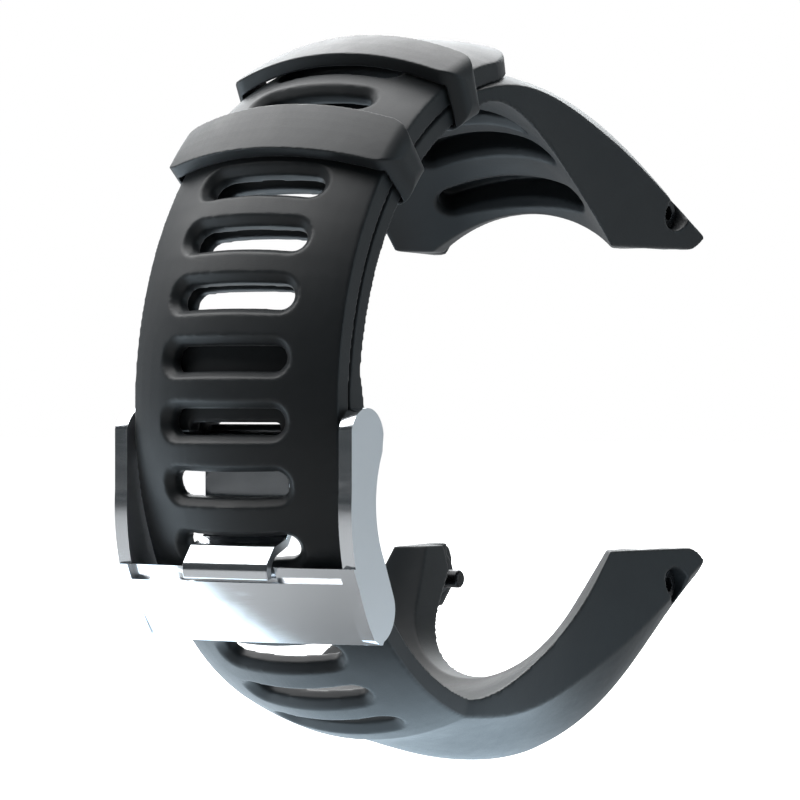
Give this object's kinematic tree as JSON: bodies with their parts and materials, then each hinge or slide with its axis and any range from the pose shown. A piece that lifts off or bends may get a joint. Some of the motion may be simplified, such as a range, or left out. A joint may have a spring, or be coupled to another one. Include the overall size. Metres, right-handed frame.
{
  "type": "dive computer strap with buckle",
  "caption": "Closed two-piece moulded rubber strap with slots, steel pin buckle, sliding keepers and screw-fixed lug ends that hold a wrist-worn dive computer.",
  "frame": {"origin": "centre of the box round the whole closed strap", "axes": "+X across the strap to the wearer's right of the buckle, +Y from the buckle to the computer, +Z from the lower lug end to the upper one"},
  "size_m": [0.0346, 0.0682, 0.0762],
  "materials": {
    "strap_elastomer": "fine matt moulded grain, soft sheen on rounded edges",
    "keeper_elastomer": "fine matt moulded grain",
    "buckle_steel": "polished front, satin side plates",
    "tongue_steel": "satin",
    "spring_bar_steel": "ground",
    "spring_wire": "drawn",
    "screw_black": "glossy black coating",
    "bush_polymer": "matt"
  },
  "bodies": {
    "loop": {"long_strap": "strap_elastomer", "short_strap": "strap_elastomer", "spring_bar_tube": "spring_bar_steel", "spring_bar_spring": "spring_wire", "spring_bar_fixed_tip": "spring_bar_steel", "lower_lug_bush_left": "bush_polymer", "lower_lug_bush_right": "bush_polymer", "upper_lug_bush_left": "bush_polymer", "upper_lug_bush_right": "bush_polymer"},
    "buckle": {"buckle_frame": "buckle_steel"},
    "tongue": {"buckle_tongue": "tongue_steel"},
    "plunger": {"spring_bar_plunger": "spring_bar_steel"},
    "keeper_low": {"lower_keeper": "keeper_elastomer"},
    "keeper_high": {"upper_keeper": "keeper_elastomer"},
    "lower_left_screw": {"lower_lug_screw_left": "screw_black"},
    "lower_right_screw": {"lower_lug_screw_right": "screw_black"},
    "upper_left_screw": {"upper_lug_screw_left": "screw_black"},
    "upper_right_screw": {"upper_lug_screw_right": "screw_black"}
  },
  "joints": [
    {"name": "buckle_swing", "type": "hinge", "parent": "loop", "child": "buckle", "pos_m": [0, -0.02753, -0.00364], "axis": [1, 0, 0], "range_deg": [-1, 2]},
    {"name": "tongue_swing", "type": "hinge", "parent": "loop", "child": "tongue", "pos_m": [0, -0.02753, -0.00364], "axis": [1, 0, 0], "range_deg": [-1.2, 2.4]},
    {"name": "lower_keeper_slide", "type": "hinge", "parent": "loop", "child": "keeper_low", "pos_m": [0, 0.00429, -0.00016], "axis": [1, 0, 0], "range_deg": [-6, 14]},
    {"name": "upper_keeper_slide", "type": "hinge", "parent": "loop", "child": "keeper_high", "pos_m": [0, 0.00429, -0.00016], "axis": [1, 0, 0], "range_deg": [-4, 7]},
    {"name": "plunger_slide", "type": "slide", "parent": "loop", "child": "plunger", "axis": [1, 0, 0], "range_m": [0, 0.0011], "stiffness_N_per_m": 100, "springref_m": -0.002, "deforming": ["spring_bar_spring"]},
    {"name": "lower_left_screw_turn", "type": "hinge", "parent": "loop", "child": "lower_left_screw", "pos_m": [-0.013, 0.02937, -0.01964], "axis": [1, 0, 0], "continuous": true},
    {"name": "lower_right_screw_turn", "type": "hinge", "parent": "loop", "child": "lower_right_screw", "pos_m": [0.013, 0.02937, -0.01964], "axis": [1, 0, 0], "continuous": true},
    {"name": "upper_left_screw_turn", "type": "hinge", "parent": "loop", "child": "upper_left_screw", "pos_m": [-0.013, 0.02937, 0.02056], "axis": [1, 0, 0], "continuous": true},
    {"name": "upper_right_screw_turn", "type": "hinge", "parent": "loop", "child": "upper_right_screw", "pos_m": [0.013, 0.02937, 0.02056], "axis": [1, 0, 0], "continuous": true}
  ],
  "couplings": [
    {"joint": "tongue_swing", "follows": "buckle_swing", "ratio": 1}
  ]
}
